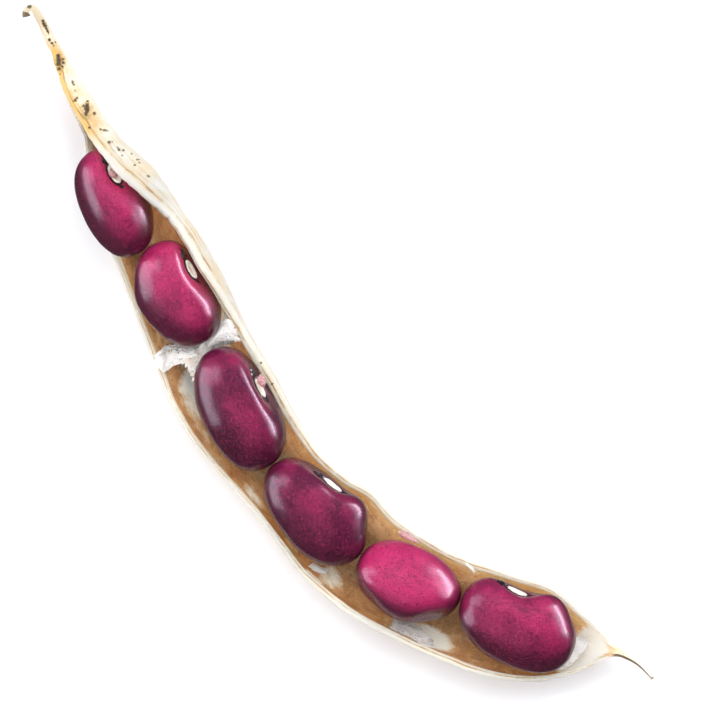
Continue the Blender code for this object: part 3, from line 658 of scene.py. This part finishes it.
# Painted shade: the flanks, which lie against the pod wall and the next bean and face away from
# the light, are darkened towards plum black.
for share, colour in (
    (painted_shade, "#19030F"), (smoky, "#3C0722"), (fleck, "#3A0822"), (dust, "#D2507F"),
    (dark, "#140D16"), (ring, "#1A0A12"), (cream, "#F6EFE2"), (middle, "#DDBFB0"),
):
    red = add("Mix", {0: share, 6: red, 7: srgb(colour)}, 2, data_type="RGBA")

gloss = add("MapRange", {0: speckle, 1: 0.3, 2: 0.7, 3: 0.22, 4: 0.34})
gloss = add("Mix", {0: cream, 2: gloss, 3: 0.75})
bump = add("Bump", {"Height": speckle, "Strength": 0.35, "Distance": 0.02 * MM})
set_inputs(shader, {
    "Base Color": red, "Roughness": gloss, "IOR": 1.5, "Specular IOR Level": 0.45,
    "Coat Weight": 0.15, "Coat Roughness": 0.14, "Normal": bump,
})

# Rings and spokes start from the eye, close together there, so that it is modelled finely.
ring_share = np.linspace(0, 1, BEAN_RINGS + 1)[1:-1]
polar = pi * ((1 - RING_CROWDING) * ring_share + RING_CROWDING * ring_share ** 2)
spoke = np.linspace(0, 2 * pi, BEAN_SPOKES, endpoint=False)
polar_grid, spoke_grid = np.meshgrid(polar, spoke, indexing="ij")
for number, (name, centre, turn, roll, size, notch, lobes) in enumerate(BEANS, start=1):
    share = notch[0] / (size[0] / 2)
    pole = np.array([share, cos(asin(share)), 0.0])
    side = np.array([pole[1], -pole[0], 0.0])
    upward = np.array([0.0, 0.0, 1.0])
    oval = 1 + RING_STRETCH[0] * np.exp(-(polar_grid / RING_STRETCH[1]) ** 2)
    directions = (
        np.cos(polar_grid)[..., None] * pole
        + (np.sin(polar_grid) * np.cos(spoke_grid) * oval)[..., None] * side
        + (np.sin(polar_grid) * np.sin(spoke_grid) / oval)[..., None] * upward
    ).reshape(-1, 3)
    directions = np.concatenate([[pole], directions, [-pole]])
    directions /= np.linalg.norm(directions, axis=1)[:, None]
    grown = tuple(length + 2 * COAT_CLOSER for length in size)
    skin = bean_skin(directions, grown, notch, lobes)
    out_way = skin / np.linalg.norm(skin, axis=1)[:, None]
    dents = np.array([
        sum(deep * ripple(*p, wide, seed + number) for deep, wide, seed in DENTS) for p in skin
    ])
    skin = skin + out_way * np.clip(dents - 0.03, *DENT_LIMITS)[:, None]

    # The eye's own coordinates: along the bean from its middle, across it, and an oval distance.
    # It has a raised white rim round a sunken middle, in a groove, with a swelling on its stalk
    # side and a pinhole on the other.
    along_eye = skin[:, 0] - skin[0, 0]
    across_eye = skin[:, 2]
    facing = directions @ pole > 0.5
    oval_mm = np.where(facing, np.hypot(along_eye / EYE_HALF[0], across_eye / EYE_HALF[1]), 9.0)
    lift = EYE_LIFT * smooth_between(oval_mm, 1.12, 0.88)
    lift -= EYE_SUNK * smooth_between(oval_mm, 0.72, 0.40)
    lift -= EYE_GROOVE * np.exp(-((oval_mm - 1.25) / 0.13) ** 2)
    swell = np.full(len(skin), -1.0)
    for lobe_along, lobe_across, radius in EYE_SWELLING:
        gap = np.hypot(along_eye - lobe_along, across_eye - lobe_across) / radius
        swell = np.maximum(swell, np.where(facing, 1.2 - 0.6 * gap, -1))
    lift += SWELLING_LIFT * smooth_between(swell, 0.4, 1.0)
    hole = np.hypot(along_eye - PINHOLE_AT, across_eye) / PINHOLE_RADIUS
    hole = np.where(facing, 1.2 - 0.6 * hole, -1)
    lift -= 0.06 * smooth_between(hole, 0.4, 1.0)
    skin[:, 1] += lift
    eye_dark = np.clip(np.maximum(swell, hole), -1, 1.2)

    tilt = Euler((radians(roll), 0.0, radians(turn))).to_matrix()
    placed = skin @ np.array(tilt).T + np.array(centre)
    # Painted shade: how squarely each point of the skin faces the light.
    facing_light = skin / np.array(size) ** 2
    facing_light /= np.linalg.norm(facing_light, axis=1)[:, None]
    facing_light = facing_light @ np.array(tilt).T @ np.array(LIT_SIDE)
    painted_shade_value = PAINTED_SHADE_STRENGTH * smooth_between(facing_light, *PAINTED_SHADE_EDGES)
    bean_faces = [(0, 1 + (k + 1) % BEAN_SPOKES, 1 + k) for k in range(BEAN_SPOKES)]
    for r in range(len(polar) - 1):
        low, high = 1 + r * BEAN_SPOKES, 1 + (r + 1) * BEAN_SPOKES
        for k in range(BEAN_SPOKES):
            n = (k + 1) % BEAN_SPOKES
            bean_faces.append((low + k, low + n, high + n, high + k))
    last = len(skin) - 1
    low = last - BEAN_SPOKES
    bean_faces += [(last, low + k, low + (k + 1) % BEAN_SPOKES) for k in range(BEAN_SPOKES)]
    piece = make_piece(
        f"{name}_seed", placed, bean_faces, coat,
        {"skin_mm": skin + 40.0 * number, "eye": np.minimum(oval_mm, 9), "eye_dark": eye_dark,
         "ripeness": np.full(len(skin), RIPENESS[name]), "painted_shade": painted_shade_value},
    )
    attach(piece, "root")
    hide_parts(name)


# Bean stalks. Each bean hung from the seam on a short soft stalk, which dried and broke when the
# pod opened. Wrinkled pink-brown stubs are left at beans 1, 3 and 5, with a torn white end.

# Along each stub: x, y, z and radius.
STUBS = {
    "bean_stalk_1": [(-31.25, -5.8, 8.85, 0.18), (-30.95, -5.66, 8.95, 0.3),
                     (-30.6, -5.52, 8.98, 0.32), (-30.3, -5.42, 8.9, 0.2)],
    "bean_stalk_3": [(-3.7, -8.72, 7.1, 0.2), (-3.3, -8.95, 7.3, 0.4),
                     (-2.85, -9.2, 7.35, 0.42), (-2.45, -9.42, 7.2, 0.24)],
    "bean_stalk_5": [(19.3, -9.38, 5.55, 0.22), (20.0, -9.12, 5.74, 0.34),
                     (20.8, -8.88, 5.72, 0.3), (21.62, -8.66, 5.58, 0.26)],
}
STUB_ROWS = 48
STUB_SPOKES = 36
STUB_OVAL = (1.15, 0.85)
STUB_WRINKLE = 0.22

# Dried stalk, shrunk into wrinkles along its length: mauve-pink, browner in the creases, and
# chalky white where it tore.
stalk_skin, tree, shader = new_finish("dried_bean_stalk")
stub_mm = add("Attribute", out="Vector", attribute_name="stub_mm")
torn = add("Attribute", out="Fac", attribute_name="torn")
crease = add("TexNoise", {"Vector": stub_mm, "Scale": 2.2, "Detail": 5.0, "Roughness": 0.6})
creased = add("MapRange", {0: crease, 1: 0.40, 2: 0.62})
skin_red = add("Mix", {0: creased, 6: srgb("#D6AAA8"), 7: srgb("#A8696E")}, 2, data_type="RGBA")
torn = add("Math", {0: crease, 1: 0.7, 2: torn}, operation="MULTIPLY_ADD")
torn = add("MapRange", {0: torn, 1: 0.95, 2: 1.15}, interpolation_type="SMOOTHSTEP")
skin_red = add("Mix", {0: torn, 6: skin_red, 7: srgb("#F3EDE6")}, 2, data_type="RGBA")
bump = add("Bump", {"Height": crease, "Strength": 0.6, "Distance": 0.08 * MM})
set_inputs(shader, {"Base Color": skin_red, "Roughness": 0.55, "Normal": bump})

for name, knots in STUBS.items():
    knots = np.array(knots)
    stub_points, stub_place, stub_torn = [], [], []
    for r in range(STUB_ROWS + 1):
        share = r / STUB_ROWS
        row = smooth_row(knots, share * (len(knots) - 1))
        ahead = smooth_row(knots, min(share + 0.01, 1.0) * (len(knots) - 1))
        behind = smooth_row(knots, max(share - 0.01, 0.0) * (len(knots) - 1))
        forward = ahead[:3] - behind[:3]
        forward /= np.linalg.norm(forward)
        side = np.cross(forward, [0.0, 0.0, 1.0])
        side /= np.linalg.norm(side)
        upward = np.cross(side, forward)
        closing = sin(pi * share) ** 0.35 if 0 < share < 1 else 0.05
        for k in range(STUB_SPOKES):
            turn = 2 * pi * k / STUB_SPOKES
            wrinkle = ripple(2.4 * cos(turn), 2.4 * sin(turn), share * 2.2, 1.3, 31)
            reach = row[3] * closing * (1 + STUB_WRINKLE * wrinkle)
            out = side * cos(turn) * STUB_OVAL[0] + upward * sin(turn) * STUB_OVAL[1]
            stub_points.append(row[:3] + out * reach)
            stub_place.append((share * 2.4 + row[0], reach * cos(turn) * 3, reach * sin(turn) * 3))
            stub_torn.append(max(1 - share / 0.25, (share - 0.88) / 0.12, 0.0))
    piece = make_piece(
        f"{name}_stub", stub_points, tube_faces(STUB_ROWS + 1, STUB_SPOKES), stalk_skin,
        {"stub_mm": stub_place, "torn": stub_torn},
    )
    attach(piece, "root")
    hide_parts(name)


# Torn lining. A white papery skin lined the pod and parted from the wall as it dried: creased
# sheets of it stand up between beans 2 and 3, under bean 5, at the beak and along the edges.

# The sheets of each piece: how thin and tan the sheet is at its first and its last row, and the
# rows of points across it: x, y, z.
SHEETS = {
    "lining_flap_1": [(0.1, 0.1, [
        [(-13.15, -16.3, 3.7), (-12.9, -16.6, 3.9), (-12.45, -16.9, 3.7)],
        [(-13.3, -14.9, 3.2), (-12.4, -15.8, 4.2), (-11.75, -16.65, 4.0)],
        [(-13.2, -13.8, 2.2), (-12.0, -15.2, 3.6), (-10.95, -16.45, 3.9)],
        [(-12.3, -12.8, 2.2), (-11.6, -14.1, 3.3), (-10.8, -15.2, 3.2)],
        [(-11.2, -11.9, 2.6), (-10.6, -12.9, 3.4), (-10.1, -13.8, 2.9)],
        [(-10.6, -11.1, 3.0), (-10.1, -11.7, 3.7), (-9.7, -12.5, 3.0)],
    ]), (0.7, 0.2, [
        [(-10.55, -14.45, 3.0), (-9.3, -14.68, 2.5), (-7.55, -15.15, 2.5)],
        [(-10.76, -13.35, 3.4), (-9.67, -13.62, 3.0), (-8.01, -14.1, 2.7)],
        [(-10.67, -11.79, 3.5), (-9.72, -12.06, 3.1), (-8.62, -12.49, 2.8)],
        [(-10.72, -10.23, 3.7), (-9.78, -10.51, 3.2), (-8.91, -10.71, 2.9)],
        [(-10.54, -8.75, 3.8), (-9.6, -9.03, 3.4), (-8.65, -9.3, 3.1)],
        [(-9.64, -7.78, 3.9), (-8.62, -8.13, 3.6), (-7.52, -8.25, 3.3)],
    ])],
    "lining_flap_2": [(0.0, 0.0, [
        [(-10.5, -11.4, 2.7), (-10.05, -11.4, 3.9), (-9.6, -11.5, 3.0)],
        [(-10.7, -10.0, 3.6), (-10.0, -10.1, 4.7), (-9.3, -10.2, 3.6)],
        [(-10.9, -8.9, 4.0), (-10.1, -9.1, 5.2), (-9.1, -9.4, 4.2)],
        [(-11.0, -7.9, 5.2), (-10.0, -8.2, 5.9), (-8.6, -8.8, 5.0)],
        [(-10.8, -7.2, 6.2), (-9.6, -7.5, 6.5), (-7.9, -8.2, 5.6)],
        [(-10.2, -6.95, 6.7), (-9.2, -7.1, 6.8), (-7.5, -7.8, 5.9)],
    ])],
    "lining_flap_3": [(0.3, 0.3, [
        [(25.6, -16.4, 2.6), (25.9, -17.0, 3.1), (26.0, -17.6, 3.6)],
        [(26.9, -15.6, 2.1), (27.2, -16.3, 2.8), (27.6, -17.0, 3.7)],
        [(28.2, -14.9, 2.0), (28.6, -15.6, 2.7), (29.0, -16.4, 3.9)],
        [(29.6, -14.9, 2.3), (30.0, -15.4, 3.0), (30.4, -16.0, 4.1)],
        [(30.8, -14.7, 2.6), (31.2, -14.9, 3.1), (31.6, -15.1, 3.9)],
    ]), (0.1, 0.1, [
        [(26.9, -6.2, 4.0), (26.9, -6.5, 4.2)],
        [(27.6, -6.1, 4.4), (27.7, -6.4, 4.4)],
        [(28.3, -6.15, 4.3), (28.4, -6.45, 4.1)],
    ]), (0.1, 0.1, [
        [(15.3, -18.6, 2.9), (15.2, -19.3, 3.7)],
        [(16.3, -18.3, 2.9), (16.4, -19.1, 3.5)],
        [(17.2, -17.7, 2.5), (17.4, -18.4, 2.9)],
    ])],
    "lining_flap_4": [(0.0, 0.0, [
        [(41.6, -7.9, 3.2), (42.0, -7.5, 3.4), (42.4, -7.1, 3.9)],
        [(41.5, -6.3, 2.7), (42.2, -6.0, 2.9), (43.0, -5.9, 3.4)],
        [(41.3, -4.8, 2.4), (42.2, -4.5, 2.7), (43.1, -4.4, 2.9)],
        [(41.1, -3.5, 2.2), (42.0, -3.2, 2.5), (42.9, -3.1, 2.8)],
        [(41.2, -2.5, 2.3), (41.8, -2.2, 2.5), (42.4, -2.1, 2.8)],
    ])],
}
# Steps along and across, how far and in what waves the outline is torn, and the folds: height
# and size.
SHEET_STEPS = (72, 48)
SHEET_HALF_THICKNESS = 0.04
SHEET_RAGGED = 0.10
SHEET_WAVES = (9, 30)
SHEET_CREASE = (0.18, 1.9)
SHEET_WRINKLE = (0.03, 0.5)

# Papery lining, dried: chalky white with faint cream clouds, thinner and duller at its creases.
papery, tree, shader = new_finish("papery_lining")
sheet_mm = add("Attribute", out="Vector", attribute_name="sheet_mm")
cloud = add("TexNoise", {"Vector": sheet_mm, "Scale": 1.1, "Detail": 5.0, "Roughness": 0.62})
thin = add("MapRange", {0: cloud, 1: 0.46, 2: 0.64, 4: 0.6})
thinness = add("Attribute", out="Fac", attribute_name="thinness")
white = add("Mix", {0: thin, 6: srgb("#FEFDFB"), 7: srgb("#EFE7DC")}, 2, data_type="RGBA")
tan = add("Math", {0: cloud, 1: 1.6, 2: -0.35}, operation="MULTIPLY_ADD", use_clamp=True)
tan = add("Math", {0: tan, 1: thinness}, operation="MULTIPLY")
white = add("Mix", {0: tan, 6: white, 7: srgb("#D8BC9A")}, 2, data_type="RGBA")
rough = add("MapRange", {0: cloud, 1: 0.3, 2: 0.7, 3: 0.34, 4: 0.55})
bump = add("Bump", {"Height": cloud, "Strength": 0.6, "Distance": 0.08 * MM})
set_inputs(shader, {"Base Color": white, "Roughness": rough, "Normal": bump})

for name, sheets in SHEETS.items():
    sheet_points, sheet_faces, sheet_thinness = [], [], []
    for number, (thin_first, thin_last, sheet) in enumerate(sheets):
        sheet = np.array(sheet)
        steps_along, steps_across = SHEET_STEPS
        grid = np.zeros((steps_along + 1, steps_across + 1, 3))
        for i in range(steps_along + 1):
            for j in range(steps_across + 1):
                u, v = i / steps_along, j / steps_across
                # The outline wanders in and out, so that the sheet looks torn.
                sides = [
                    SHEET_RAGGED * (1 + ripple(w * SHEET_WAVES[0], number, edge, 1.0, 40)
                                    + 0.6 * ripple(w * SHEET_WAVES[1], number, edge, 1.0, 41))
                    for edge, w in enumerate((v, v, u, u))
                ]
                u = sides[0] + u * (1 - sides[0] - sides[1])
                v = sides[2] + v * (1 - sides[2] - sides[3])
                row = smooth_row(sheet, min(max(u, 0), 1) * (len(sheet) - 1))
                point = smooth_row(row, min(max(v, 0), 1) * (len(row) - 1))
                for height_mm, size_mm in (SHEET_CREASE, SHEET_WRINKLE):
                    ridge = 1 - 2 * abs(ripple(*point, size_mm, 42))
                    point = point + np.array([0.0, 0.0, height_mm * (ridge - 0.6)])
                grid[i, j] = point
        normals = np.cross(np.gradient(grid, axis=0), np.gradient(grid, axis=1))
        normals /= np.maximum(np.linalg.norm(normals, axis=2), 1e-9)[..., None]
        first = len(sheet_points)
        count = (steps_along + 1) * (steps_across + 1)
        for way in (SHEET_HALF_THICKNESS, -SHEET_HALF_THICKNESS):
            sheet_points += list((grid + normals * way).reshape(-1, 3))
            thinner = np.linspace(thin_first, thin_last, steps_along + 1)
            sheet_thinness += list(np.repeat(thinner, steps_across + 1))
        width = steps_across + 1
        for i in range(steps_along):
            for j in range(steps_across):
                a = first + i * width + j
                sheet_faces.append((a, a + width, a + width + 1, a + 1))
                sheet_faces.append((a + count, a + count + 1, a + count + width + 1,
                                    a + count + width))
        rim = [first + j for j in range(width)]
        rim += [first + i * width + width - 1 for i in range(1, steps_along + 1)]
        rim += [first + steps_along * width + j for j in range(width - 2, -1, -1)]
        rim += [first + i * width for i in range(steps_along - 1, 0, -1)]
        for a, b in zip(rim, rim[1:] + rim[:1]):
            sheet_faces.append((a, b, b + count, a + count))
    piece = make_piece(
        f"{name}_film", sheet_points, sheet_faces, papery,
        {"sheet_mm": sheet_points, "thinness": sheet_thinness},
    )
    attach(piece, "root")
    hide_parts(name)


# Setting: a white table, soft daylight from windows, and the camera straight above, turned so
# that the pod runs from the top left of the picture to the bottom right.
CAMERA_TURN = radians(47.07)
VIEW_CENTRE = np.array([2.94, 10.20]) * MM
VIEW_WIDTH = 79.2 * MM
LENS = 500.0
SENSOR = 36.0
FOCUS_HEIGHT = 5.0 * MM

table_top, tree, shader = new_finish("white_table")
set_inputs(shader, {"Base Color": srgb("#F4F6FA"), "Roughness": 0.7})
bpy.ops.mesh.primitive_plane_add(size=4.0, location=(0, 0, 0))
table = bpy.context.object
table.name = "white_table"
table.data.materials.append(table_top)
# The table is so matt and so bright that its reflection would veil the beans' dark sides.
table.visible_glossy = False

picture_right = Vector((cos(CAMERA_TURN), sin(CAMERA_TURN), 0.0))
picture_up = Vector((-sin(CAMERA_TURN), cos(CAMERA_TURN), 0.0))
# Each window: bearing from the picture's right and angle over the table in degrees, distance,
# width and height in metres, power in watts, and colour.
WINDOWS = {
    "window_right": (20, 12, 0.9, 0.85, 0.20, 10.5, "#F8E8FF"),
    "window_right_glow": (20, 20, 0.9, 1.00, 0.50, 7.0, "#F8E8FF"),
    "window_left": (180, 7, 0.9, 0.80, 0.55, 7.5, "#F1ECFF"),
    "window_upper_left": (158, 33, 0.9, 0.40, 0.30, 1.5, "#F1ECFF"),
    "skylight_top": (108, 45, 0.9, 0.90, 0.90, 5.4, "#FFFFFF"),
    "skylight_right": (48, 42, 0.9, 0.90, 0.90, 5.2, "#FFFFFF"),
    "skylight_left": (225, 35, 0.9, 0.90, 0.90, 2.8, "#FFFFFF"),
    "skylight_above": (200, 74, 0.9, 1.50, 1.50, 9.0, "#FFFFFF"),
}
for name, (bearing, rise, distance, wide, high, power, tint) in WINDOWS.items():
    lamp = bpy.data.lights.new(name, "AREA")
    lamp.shape = "RECTANGLE"
    lamp.size, lamp.size_y = wide, high
    lamp.energy = power
    lamp.color = srgb(tint)[:3]
    level = picture_right * cos(radians(bearing)) + picture_up * sin(radians(bearing))
    spot_at = level * cos(radians(rise)) + Vector((0, 0, sin(radians(rise))))
    made = bpy.data.objects.new(name, lamp)
    made.location = spot_at * distance
    made.rotation_euler = spot_at.to_track_quat("Z", "Y").to_euler()
    # The windows are seen only as reflections, and the skylights only as soft light.
    made.visible_glossy = name.startswith("window")
    made.visible_diffuse = not made.visible_glossy
    bpy.context.scene.collection.objects.link(made)

world = bpy.data.worlds.new("daylight")
world.use_nodes = True
background = world.node_tree.nodes["Background"]
set_inputs(background, {"Color": srgb("#EEF3FF"), "Strength": 0.08})
bpy.context.scene.world = world
bpy.context.scene.view_settings.view_transform = "Standard"

camera_data = bpy.data.cameras.new("camera")
camera_data.lens = LENS
camera_data.sensor_width = SENSOR
camera_data.clip_end = 20.0
camera = bpy.data.objects.new("camera", camera_data)
camera.location = (*VIEW_CENTRE, FOCUS_HEIGHT + VIEW_WIDTH * LENS / SENSOR)
camera.rotation_euler = (0.0, 0.0, CAMERA_TURN)
bpy.context.scene.collection.objects.link(camera)
bpy.context.scene.camera = camera
